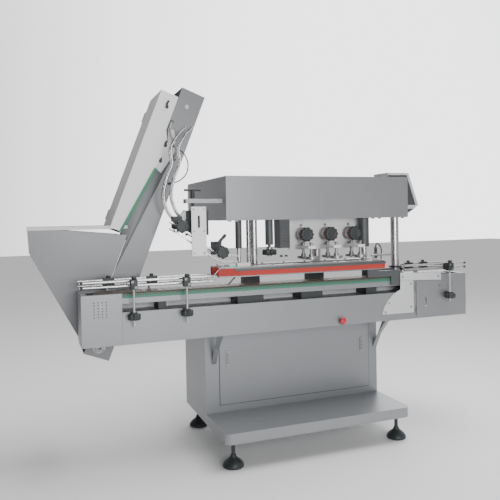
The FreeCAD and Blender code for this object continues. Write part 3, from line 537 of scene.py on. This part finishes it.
def make_chain():
    plate_pitch, depth, gap, knuckle = 38.1, 8, 1.0, 4
    low, high = corners_of("conveyor_chain")
    outer = (high.z - low.z) / 2
    radius = outer - depth / 2
    height = (high.z + low.z) / 2
    left, right = low.x + outer, high.x - outer
    straight = right - left
    loop = 2 * straight + 2 * math.pi * radius
    count = round(loop / plate_pitch)
    pitch = loop / count
    front, back = low.y + 0.3, high.y - 0.3

    def spot(along, lift):
        """The (x, z) at a distance round the loop, lifted outwards."""
        along %= loop
        bend = math.pi * radius
        if along < straight:
            return left + along, height + radius + lift
        if along < straight + bend:
            angle = (along - straight) / radius
            return right + (radius + lift) * math.sin(angle), height + (radius + lift) * math.cos(angle)
        if along < 2 * straight + bend:
            return right - (along - straight - bend), height - radius - lift
        angle = (along - 2 * straight - bend) / radius
        return left - (radius + lift) * math.sin(angle), height - (radius + lift) * math.cos(angle)

    mesh = bmesh.new()
    for i in range(count):
        start = i * pitch + gap
        stop = (i + 1) * pitch - gap
        corners = [spot(start, 3.2), spot(start + 1.4, 3.9), spot(stop - 1.4, 3.9), spot(stop, 3.2),
                   spot(stop, -1.2), spot(start, -1.2)]
        slab(mesh, corners, front, back, "front")
        for low_y, high_y in ((front + 38, front + 50), (back - 50, back - 38)):
            joint = [spot(i * pitch - knuckle, -3.9), spot(i * pitch - knuckle, -1),
                     spot(i * pitch + knuckle, -1), spot(i * pitch + knuckle, -3.9)]
            slab(mesh, joint, low_y, high_y, "front")
        pin = spot(i * pitch, 0.6)
        spin(mesh, [(0, 0), (2.4, 0), (2.4, back - front - 1), (0, back - front - 1)],
             (pin[0], back - 0.5, pin[1]), "front", 8)
    finish_piece("chain_plates", mesh, chain_brown, "frame", smooth=30,
                 replaced=["conveyor_chain"])


make_chain()


# ---- Emergency stop ----
# A red moulded mushroom head that is pressed in along Y, in a turned steel collar that is
# screwed to the beam's front face.

def make_stop():
    centre = middle_of("emergency_stop")
    front = corners_of("beam")[0].y
    head = bmesh.new()
    spin(head, [(0, -2), (11, -2), (11, 14), (17, 14), (19.2, 15.5), (20, 18), (19.6, 21), (17.5, 25),
                (13.5, 28), (8, 29.6), (0, 30)], (centre.x, front, centre.z), "front", 48)
    finish_piece("stop_mushroom", head, stop_red, "emergency_stop", smooth=60,
                 replaced=["emergency_stop"])
    collar = bmesh.new()
    spin(collar, [(11.6, 0), (18, 0), (18.4, 0.6), (18.4, 3.4), (17.4, 4.4), (14, 4.6), (13, 3.6),
                  (11.6, 3.6)], (centre.x, front - 0.1, centre.z), "front", 40)
    finish_piece("stop_collar", collar, turned_steel, "frame")


make_stop()


# ---- Belt unit ----
# Hexagon nuts and flanged bushes on the six spindles, cap screws along both cover plates and a
# dark lip along the front belt's top edge. At its left end sit a white block, a mint pad and a bent rod.

white_plastic = surface("white_plastic", (0.68, 0.68, 0.66), 0.45, scale=700, height=0.00001)
mint_plastic = surface("mint_plastic", (0.36, 0.62, 0.50), 0.5, scale=700, height=0.00001)


def make_belt_unit():
    nuts = bmesh.new()
    nut_drop, bush_drop = 1, 28
    for row in ("front", "rear"):
        for number in (1, 2, 3):
            centre = middle_of(f"{row}_spindle_{number}")
            top = corners_of(f"{row}_spindle_{number}")[1].z
            hex_nut(nuts, (centre.x, centre.y, top - nut_drop), "up", 11, 9)
            spin(nuts, [(9.6, 0), (15, 0), (15, 4), (12.5, 6), (9.6, 6)],
                 (centre.x, centre.y, top - bush_drop), "up", 32)
    finish_piece("spindle_nuts", nuts, turned_steel, "head")
    bolts = bmesh.new()
    low, high = corners_of("belt_plates")
    count, end_gap, side_gap = 8, 40, 22
    for i in range(count):
        x = low.x + end_gap + (high.x - low.x - 2 * end_gap) * i / (count - 1)
        for y in (low.y + side_gap, high.y - side_gap):
            cap_screw(bolts, (x, y, high.z + 0.2), "up", 4.6, 5)
    finish_piece("belt_plate_bolts", bolts, turned_steel, "frame")
    block = bmesh.new()
    brick(block, (-236, -163), (-372, -338), (975.5, 1004))
    finish_piece("belt_end_block", block, white_plastic, "frame", bevel=3)
    lip = bmesh.new()
    brick(lip, (-252, 646), (-382.6, -380.3), (965, 978.6))
    finish_piece("belt_cover_lip", lip, dark_paint, "frame", bevel=0.6)
    pad = bmesh.new()
    brick(pad, (-277, -236.3), (-362, -340), (978, 996))
    finish_piece("belt_end_pad", pad, mint_plastic, "frame", bevel=3)


make_belt_unit()
bent("belt_end_rod",
     [(-262, -351, 995), (-300, -351, 1001), (-330, -352, 975), (-352, -353, 950), (-388, -353, 920)],
     3, turned_steel, "frame")


# ---- Bottle sensor ----
# A black threaded tube held by two nuts in a bracket, on a steel cross rod and a short post that
# stands on the front belt plate. Its cable loops over and down to the end of the belt unit.

def make_sensor():
    tube_x, tube_y, rod_y = 626, -310, -345
    body = bmesh.new()
    thread = [(9.2 - 0.5 * (i % 2), 2 + 2 * i) for i in range(24)]
    spin(body, [(0, 0), (8, 0)] + thread + [(8.6, 50), (8.6, 60), (5, 64), (0, 64)], (tube_x, tube_y, 992),
         "up", 32)
    finish_piece("sensor_tube", body, black_plastic, "frame", smooth=30)
    clamps = bmesh.new()
    for level in (1003, 1016):
        hex_nut(clamps, (tube_x, tube_y, level), "up", 15, 6)
    spin(clamps, [(0, 0), (5, 0), (5, 134), (0, 134)], (573, rod_y, 1012), "right", 24)
    spin(clamps, [(0, 0), (9, 0), (9, 3), (5, 4), (5, 24), (0, 24)], (590, rod_y, 986.3), "up", 24)
    brick(clamps, (616, 636), (-352, -320.5), (1009.3, 1015.8))
    finish_piece("sensor_bracket", clamps, turned_steel, "frame", bevel=0.6)


make_sensor()
bent("sensor_cable",
     [(626, -310, 1054), (628, -309, 1078), (655, -300, 1072), (679, -290, 1040), (675, -286, 1000),
      (672, -300, 960), (668, -322, 944), (651, -340, 942)],
     3.5, black_plastic, "frame")


# ---- Hopper rim ----
# The sheet round the hopper's mouth is folded over into a narrow bright hem. It is one band
# lofted round the four corners, each profile point an outward step and a level.

def make_hopper_rim():
    low, high = corners_of("hopper")
    rim = bmesh.new()
    spots = [(low.x, low.y), (high.x, low.y), (high.x, high.y), (low.x, high.y)]
    rings = []
    for out, level in ((0.3, high.z - 16), (0.9, high.z - 16.5), (1.6, high.z - 15), (1.6, high.z - 0.5),
                       (0.6, high.z + 0.8), (-1.4, high.z + 0.8), (-2.4, high.z - 0.5)):
        ring = []
        for x, y in spots:
            side_x = 1 if x > (low.x + high.x) / 2 else -1
            side_y = 1 if y > (low.y + high.y) / 2 else -1
            ring.append(rim.verts.new(((x + side_x * out) * MM, (y + side_y * out) * MM, level * MM)))
        rings.append(ring)
    for lower, upper in zip(rings, rings[1:]):
        for i in range(4):
            rim.faces.new((lower[i], lower[(i + 1) % 4], upper[(i + 1) % 4], upper[i]))
    finish_piece("hopper_rim", rim, light_steel, "frame", smooth=25)


make_hopper_rim()


# ---- Elevator ----
# A leaning cap elevator: a side plate beside the lid, darkened as painted shade, a green seal strip on the
# lid, a pale patch plate, the tail roller's bearing, rivets down the side and black draw latches on the lid.

def on_elevator(across, up):
    """The (x, z) of a point given across and up the leaning elevator, from its lower right corner."""
    axle_in, axle_up = 75, 55
    tail, head = middle_of("tail_roller"), middle_of("head_roller")
    climb = (head - tail).normalized()
    side = Vector((climb.z, 0, -climb.x))
    spot = tail + side * (across + axle_in) + climb * (up - axle_up)
    return spot.x, spot.z


seal_green = surface("seal_green", (0.02, 0.26, 0.13), 0.5, scale=700, uneven=0.1)
# Painted shade: a dark steel for faces and holes that stand in shade.
shadow_steel = surface("shadow_steel", (0.10, 0.104, 0.11), 0.4, 0.6, (1, 1, 0.06), 500, wear_and_sheen=0.3)


def make_elevator_details():
    face = corners_of("elevator_frame")[0].y
    lid_face = corners_of("elevator_lid")[0].y
    # Painted shade: the side plate sits recessed in shade and is made dark.
    plate = bmesh.new()
    outline = [on_elevator(*spot) for spot in ((-174, 642), (-98, 1166), (-52, 1168), (-131, 410),
                                               (-133.5, 404), (-134, 640))]
    slab(plate, outline, face + 3, face + 5, "front")
    finish_piece("elevator_side_plate", plate, shadow_steel, "frame", bevel=0.4)
    seal = bmesh.new()
    outline = [on_elevator(*spot) for spot in ((-184, 656), (-170, 656), (-113, 1034), (-127, 1034))]
    slab(seal, outline, lid_face - 2.4, lid_face - 0.2, "front")
    finish_piece("lid_seal", seal, seal_green, "elevator_lid", bevel=0.7)
    patch = bmesh.new()
    outline = [on_elevator(*spot) for spot in ((-119, 1034), (-84, 1020), (-48, 1166), (-96, 1262),
                                               (-133, 1264), (-99, 1168))]
    slab(patch, outline, face - 1.3, face - 0.3, "front")
    finish_piece("elevator_patch_plate", patch, light_steel, "frame", bevel=0.3)
    bearing = bmesh.new()
    axle = middle_of("tail_roller")
    bolt_circle = 28.5
    spin(bearing, [(12.4, 0), (34, 0), (34, 5), (24, 6), (22, 13), (20, 14), (13, 14), (12.4, 12)],
         (axle.x, face - 0.2, axle.z), "front", 40)
    for i in range(4):
        angle = math.radians(45 + 90 * i)
        cap_screw(bearing, (axle.x + bolt_circle * math.cos(angle), face - 5,
                            axle.z + bolt_circle * math.sin(angle)), "front", 2.7, 4)
    finish_piece("roller_bearings", bearing, turned_steel, "frame", smooth=40)
    rivets = bmesh.new()
    first, spacing = 120, 118
    for i in range(12):
        x, z = on_elevator(-12, first + spacing * i)
        spin(rivets, [(4.2, 0), (3.8, 1.1), (2.2, 1.9), (0, 2.1)], (x, face - 0.1, z), "front", 16)
    finish_piece("elevator_rivets", rivets, turned_steel, "frame")


def make_lid_latches():
    """Three draw latches: a round foot and a bent lever that reaches up, shorter lower down."""
    lid_face = corners_of("elevator_lid")[0].y
    latches = bmesh.new()
    for x, z, reach in ((-522, 1838, 30), (-534, 1632, 22), (-563, 1548, 14)):
        spin(latches, [(0, 0), (9, 0), (9, 4), (7, 6), (0, 6)], (x, lid_face - 0.2, z), "front", 24)
        lever = [(x - 6, z - 4), (x + 6, z - 2), (x + 5, z + reach * 0.6), (x + reach * 0.5, z + reach),
                 (x + reach * 0.2, z + reach + 5), (x - 7, z + reach * 0.6)]
        slab(latches, lever, lid_face - 14, lid_face - 6, "front")
    finish_piece("lid_latches", latches, black_plastic, "elevator_lid", bevel=1.5)


make_elevator_details()
make_lid_latches()


# ---- Cables on the elevator ----
# A thin black sensor cable in a loop and a thicker grey air hose, in front of the elevator.
# Each is a smooth bent line, held at both ends by a round black clip.

grey_hose = surface("grey_hose", (0.30, 0.31, 0.32), 0.35, scale=900, height=0.00001)
CABLES = {
    "sensor_loop": (3.2, ((-497, -97, 1630), (-470, -140, 1606), (-444, -160, 1580), (-427, -165, 1523),
                          (-441, -165, 1470), (-475, -150, 1438), (-512, -110, 1427), (-519, -96, 1428))),
    "air_hose": (6.0, ((-497, -91, 1760), (-511, -116, 1735), (-517, -128, 1705), (-505, -128, 1660),
                       (-482, -125, 1615), (-479, -112, 1585), (-490, -91, 1560))),
}


def make_cables():
    clips = bmesh.new()
    for name, (radius, points) in CABLES.items():
        shade = black_plastic if name == "sensor_loop" else grey_hose
        bent(name, points, radius, shade, "frame")
        for x, y, z in (points[0], points[-1]):
            spin(clips, [(0, -1), (radius + 4, -1), (radius + 4, 7), (radius + 2, 9), (0, 9)],
                 (x, y + 3, z), "front", 24)
    finish_piece("cable_clips", clips, black_plastic, "frame", smooth=45)


make_cables()


# ---- Rail clamps ----
# Moulded black clamps hold the round guide rails on their posts, front and rear, each with a
# small knob on top; bright screws pinch the front ones. Black plugs close the outer ends of the
# front rails.

def make_rail_clamps():
    for side, spots in (("infeed_front_rail", (-768, -508)), ("outfeed_front_rail", (1078,))):
        shells = bmesh.new()
        screws = bmesh.new()
        for x in spots:
            brick(shells, (x - 16.8, x + 16.8), (-406.8, -369.2), (904.2, 951))
            brick(shells, (x - 12, x + 12), (-369, -346), (909, 948.6))
            spin(shells, [(0, 0), (11, 0), (13, 3), (13, 12), (10, 15), (0, 15)], (x + 2, -390, 951.2),
                 "up", 30, 6, 0.12, 9)
            cap_screw(screws, (x - 8, -407, 941), "front", 4, 5)
            cap_screw(screws, (x + 8, -407, 914), "front", 4, 5)
        name = side.split("_")[0]
        finish_piece(f"{name}_front_clamps", shells, black_plastic, side, bevel=2.2)
        finish_piece(f"{name}_clamp_screws", screws, turned_steel, side)
    for side, spots in (("infeed_rear_rail", (-866, -650)), ("outfeed_rear_rail", (905, 1010))):
        shells = bmesh.new()
        for x in spots:
            brick(shells, (x - 28.6, x + 28.6), (-236.6, -217.4), (903.4, 950))
            spin(shells, [(0, 0), (9, 0), (11, 2), (11, 9), (8, 12), (0, 12)], (x, -225, 950.2),
                 "up", 30, 6, 0.12, 7)
            spin(shells, [(6.2, 0), (13, 0), (13, 16), (6.2, 16)], (x, -151, 898), "up", 28)
        name = side.split("_")[0]
        finish_piece(f"{name}_rear_clamps", shells, black_plastic, side, bevel=2.2)
    inset, rod_y = 4, -332
    for name, outwards in (("infeed", "left"), ("outfeed", "right")):
        side = f"{name}_front_rail"
        low, high = corners_of(side)
        end_x = low.x + inset if outwards == "left" else high.x - inset
        tips = bmesh.new()
        for z in (916, 940):
            spin(tips, [(0, -12), (6.4, -12), (7.2, -11), (7.2, 1), (5, 3), (0, 3)], (end_x, rod_y, z),
                 outwards, 24)
        finish_piece(f"{name}_rail_tips", tips, black_plastic, side, smooth=45)


make_rail_clamps()


# ---- Drive end ----
# Screwed to the front of the beam near the drive are a pale guide strip and a thin quarter-round
# cover plate. The drive door has a bright oval pull with a dark slot; cap screws hold the sheets.

def make_drive_end():
    front = corners_of("beam")[0].y
    strip = bmesh.new()
    slab(strip, [(757, 862), (1040, 850), (1040, 894), (757, 903)], front - 4.6, front - 2.6, "front")
    finish_piece("guide_strip", strip, light_steel, "frame", bevel=0.5)
    cover = bmesh.new()
    arc = [(848, 670), (848, 858), (759, 862), (757, 808), (735, 798), (703, 777), (672, 747), (648, 712),
           (634, 672)]
    slab(cover, arc, front - 2.3, front - 0.3, "front")
    finish_piece("quarter_cover", cover, light_steel, "frame", bevel=0.4)
    screws = bmesh.new()
    for x, z in ((681, 735), (830, 704), (656, 684), (830, 838), (772, 880), (1020, 872)):
        lift = 4.7 if z > 850 else 2.4
        cap_screw(screws, (x, front - lift, z), "front", 4, 3.4)
    for x, z in ((-1000, 648), (-1000, 868), (-834, 648), (-834, 868)):
        cap_screw(screws, (x, front - 0.2, z), "front", 4, 3.4)
    finish_piece("cover_screws", screws, turned_steel, "frame")
    pull = bmesh.new()
    pull_x, pull_z, barrels_proud = 930, 727, 4.5
    ring = [(7, -20), (7, 20), (4.5, 27), (-4.5, 27), (-7, 20), (-7, -20), (-4.5, -27), (4.5, -27)]
    door = corners_of("drive_door")[0].y + barrels_proud
    slab(pull, [(pull_x + a, pull_z + b) for a, b in ring], door - 2.2, door - 0.4, "front")
    finish_piece("door_pull", pull, bright_steel, "drive_door", bevel=0.8)
    slot = bmesh.new()
    slab(slot, [(pull_x + a * 0.55, pull_z + b * 0.8) for a, b in ring], door - 2.6, door - 1.6, "front")
    finish_piece("door_pull_slot", slot, black_plastic, "drive_door", bevel=0.3)


make_drive_end()


# ---- Tail cover vents ----
# Four columns of six small round holes in the front sheet of the tail cover. Each is a small
# dished disc on the face, dark as painted shade inside the hole.

def make_vents():
    # Painted shade: dark discs stand for the holes.
    dots = bmesh.new()
    front = corners_of("tail_cover")[0].y
    left, base, column_step, line_step = -951, 776, 19, 14
    for column in range(4):
        for line in range(6):
            x, z = left + column_step * column, base + line_step * line
            spin(dots, [(3.4, 0), (3.4, 0.5), (2.6, 0.9), (0, 0.3)], (x, front - 0.1, z), "front", 16)
    finish_piece("tail_vents", dots, shadow_steel, "frame")


make_vents()


# ---- Columns and hood ----
# Moulded black rings slipped over two of the columns at the conveyor. Under the hood's front
# sheet runs its folded lip with small tabs, and a row of rivets runs along its top and foot.

def make_collars_and_lip():
    rings = bmesh.new()
    spin(rings, [(25.3, 0), (36, 0), (37, 1), (37, 9), (36, 10), (25.3, 10)], (835, -190, 922), "up", 48)
    spin(rings, [(30.3, 0), (42, 0), (43, 1), (43, 12), (42, 13), (30.3, 13)], (494, 180, 812), "up", 48)
    finish_piece("column_rings", rings, black_plastic, "frame", smooth=40)
    low, high = corners_of("hood")
    lip = bmesh.new()
    edge = [(low.x + 4, low.z - 1), (high.x - 4, low.z - 1), (high.x - 4, low.z + 2), (low.x + 4, low.z + 2)]
    slab(lip, edge, low.y + 2.6, low.y + 22, "front")
    for x in (-236, -198, 640, 684, 842):
        slab(lip, [(x - 9, low.z - 7), (x + 9, low.z - 7), (x + 9, low.z - 1), (x - 9, low.z - 1)], low.y + 5,
             low.y + 13, "front")
    finish_piece("hood_lip", lip, panel_steel, "head", bevel=0.5)
    rivets = bmesh.new()
    count, edge_gap, end_gap = 9, 18, 24
    for z in (low.z + edge_gap, high.z - edge_gap):
        for i in range(count):
            x = low.x + end_gap + (high.x - low.x - 2 * end_gap) * i / (count - 1)
            spin(rivets, [(3.6, 0), (3.2, 0.9), (1.8, 1.5), (0, 1.7)], (x, low.y - 0.1, z), "front", 16)
    finish_piece("hood_rivets", rivets, panel_steel, "head")


make_collars_and_lip()


# ---- Operator box ----
# The box's near side has a pale folded edge along its top and slanting front and a pale band across
# it, round two dark panels that are painted shade on the side face. All are thin plates on its face;
# lettering is left out.

def make_operator_face():
    front = corners_of("operator_box")[0].y
    frame_bars = bmesh.new()
    slab(frame_bars, [(922, 1508), (1080, 1508), (1154, 1299), (1135, 1296), (1067, 1494), (922, 1494)],
         front - 3, front - 0.3, "front")
    slab(frame_bars, [(922, 1299), (1140, 1299), (1124, 1276), (922, 1276)], front - 3, front - 0.3, "front")
    finish_piece("operator_frame", frame_bars, light_steel, "operator_box", bevel=0.8)
    # Painted shade: the side face in shade, as two dark plates.
    dark = bmesh.new()
    slab(dark, [(924, 1493), (1066, 1493), (1132, 1300), (924, 1300)], front - 1.4, front - 0.3, "front")
    slab(dark, [(924, 1275), (1122, 1275), (1076, 1249), (924, 1249)], front - 1.4, front - 0.3, "front")
    finish_piece("operator_face", dark, shadow_steel, "operator_box", bevel=0.3)


make_operator_face()


# ---- Chute ----
# Cap screws down both edges of the pale chute plate, a tilted white plastic block that carries
# the cap track, and a bent black lever. All ride on the chute.

def make_chute_details():
    low, high = corners_of("chute_plate")
    screws = bmesh.new()
    for x in (low.x + 12, high.x - 12):
        for z in (low.z + 14, (low.z + high.z) / 2, high.z - 14):
            cap_screw(screws, (x, low.y - 0.2, z), "front", 3.6, 4)
    finish_piece("chute_screws", screws, turned_steel, "chute")
    block = bmesh.new()
    slab(block, [(-516, 1232), (-476, 1284), (-452, 1268), (-466, 1240), (-480, 1220), (-500, 1214)],
         -250, -222, "front")
    finish_piece("track_block", block, white_plastic, "chute", bevel=3)
    lever = bmesh.new()
    slab(lever, [(-322, 1108), (-312, 1122), (-280, 1156), (-270, 1150), (-272, 1140), (-306, 1108),
                 (-314, 1100)], -309, -297, "front")
    finish_piece("chute_lever", lever, black_plastic, "chute", bevel=2.5)


make_chute_details()


# ---- Cabinet door ----
# A dark gap, painted shade as black strips, shows all round the hinged sheet door, between it and the
# cabinet's face. The two pressed latches each have five slanting slots, dark as painted shade.

def make_door_gap():
    low, high = corners_of("cabinet_door")
    # Painted shade: black strips in the gap round the door.
    gap = bmesh.new()
    front = low.y + 2.6
    wide = 3.2
    for x, z in (((low.x - wide, low.x), (low.z - wide, high.z)),
                 ((high.x, high.x + wide), (low.z - wide, high.z)),
                 ((low.x, high.x), (low.z - wide, low.z)),
                 ((low.x - wide, high.x + wide), (high.z, high.z + wide))):
        brick(gap, x, (front - 0.5, front + 0.2), z)
    finish_piece("door_gap", gap, black_plastic, "frame")
    for side in ("left", "right"):
        low, high = corners_of(f"{side}_latch")
        # Painted shade: dark slots in the latches.
        bars = bmesh.new()
        middle = (low.x + high.x) / 2
        for drop in (12, 24, 38, 50, 62):
            top = high.z - drop
            slot = [(middle - 7, top), (middle - 7, top - 4), (middle + 6, top - 6), (middle + 6, top - 2)]
            slab(bars, slot, low.y - 1.4, low.y - 0.2, "front")
        finish_piece(f"{side}_latch_slots", bars, dark_paint, f"{side}_latch", bevel=0.4)


make_door_gap()


# ---- Beam guard and side links ----
# A pale sheet guard closes the gap behind the side rails, above the beam. Brown link ends show
# in a row in front of the green wear strip on the near side.

def make_chain_guard():
    low, high = corners_of("side_rails")
    guard = bmesh.new()
    top = corners_of("beam")[1].z
    slab(guard, [(low.x, top + 0.6), (high.x, top + 0.6), (high.x, low.z + 8), (low.x, low.z + 8)],
         high.y + 1, high.y + 3, "front")
    finish_piece("chain_guard", guard, pale_lit_steel, "frame", bevel=0.5)
    links = bmesh.new()
    strip_low, strip_high = corners_of("green_strips")
    link_pitch, end_gap = 12.7, 10
    for i in range(int((strip_high.x - strip_low.x - 2 * end_gap) / link_pitch)):
        x = strip_low.x + end_gap + link_pitch * i
        slab(links, [(x, strip_high.z - 11), (x + 5.6, strip_high.z - 11), (x + 6.4, strip_high.z - 2),
                     (x + 5, strip_high.z + 1.2), (x + 1, strip_high.z + 1.2)],
             strip_low.y - 1.4, strip_low.y - 0.3, "front")
    finish_piece("chain_side_links", links, chain_brown, "frame")


make_chain_guard()


# ---- Hopper and elevator joint ----
# A pale line, a painted highlight where light catches the edge, runs down the corner where the hopper's sheet
# meets the elevator's side.
# It is one thin line that wavers a little from side to side.

def make_edge_highlight():
    face = corners_of("elevator_frame")[0].y
    points = []
    start, step, waver = 60, 43, 1.2
    for i in range(14):
        x, z = on_elevator(-137.5, start + step * i)
        points.append((x + (waver if i % 2 else -waver), face - 0.4, z))
    # Painted highlight: a pale line where light catches the hopper's edge.
    bent("hopper_edge_highlight", points, 2.6, pale_lit_steel, "frame")


make_edge_highlight()


# ---- Gear motor ----
# Cooling ribs across the front of the painted gear motor under the hood, and two black hexagon
# gland nuts lower down.

def make_motor_ribs():
    low = corners_of("head_drives")[0]
    ribs = bmesh.new()
    first, spacing, thick = 1096, 17, 5
    for i in range(7):
        z = first + spacing * i
        brick(ribs, (60, 113), (low.y - 3.4, low.y - 0.3), (z, z + thick))
    finish_piece("motor_ribs", ribs, dark_paint, "head", bevel=0.8)
    glands = bmesh.new()
    for x in (70, 100):
        hex_nut(glands, (x, low.y + 22, low.z - 12), "up", 9, 9)
    finish_piece("motor_glands", glands, black_plastic, "head")


make_motor_ribs()


# ---- Handwheel hub ----
# Two turned steel rings on the lift screw, one above the black handwheel and a smaller one
# below it. Both turn with the wheel.

def make_wheel_hub():
    low, high = corners_of("lift_handwheel")
    centre = (low + high) / 2
    hub = bmesh.new()
    spin(hub, [(8.4, 0), (17, 0), (18, 1), (18, 12), (16, 14), (8.4, 14)], (centre.x, centre.y, high.z + 0.5),
         "up", 32)
    spin(hub, [(8.4, 0), (12, 0), (14, 2), (14, 6), (8.4, 6)], (centre.x, centre.y, low.z - 6.5), "up", 32)
    finish_piece("handwheel_hub", hub, turned_steel, "lift_handwheel", smooth=40)


make_wheel_hub()
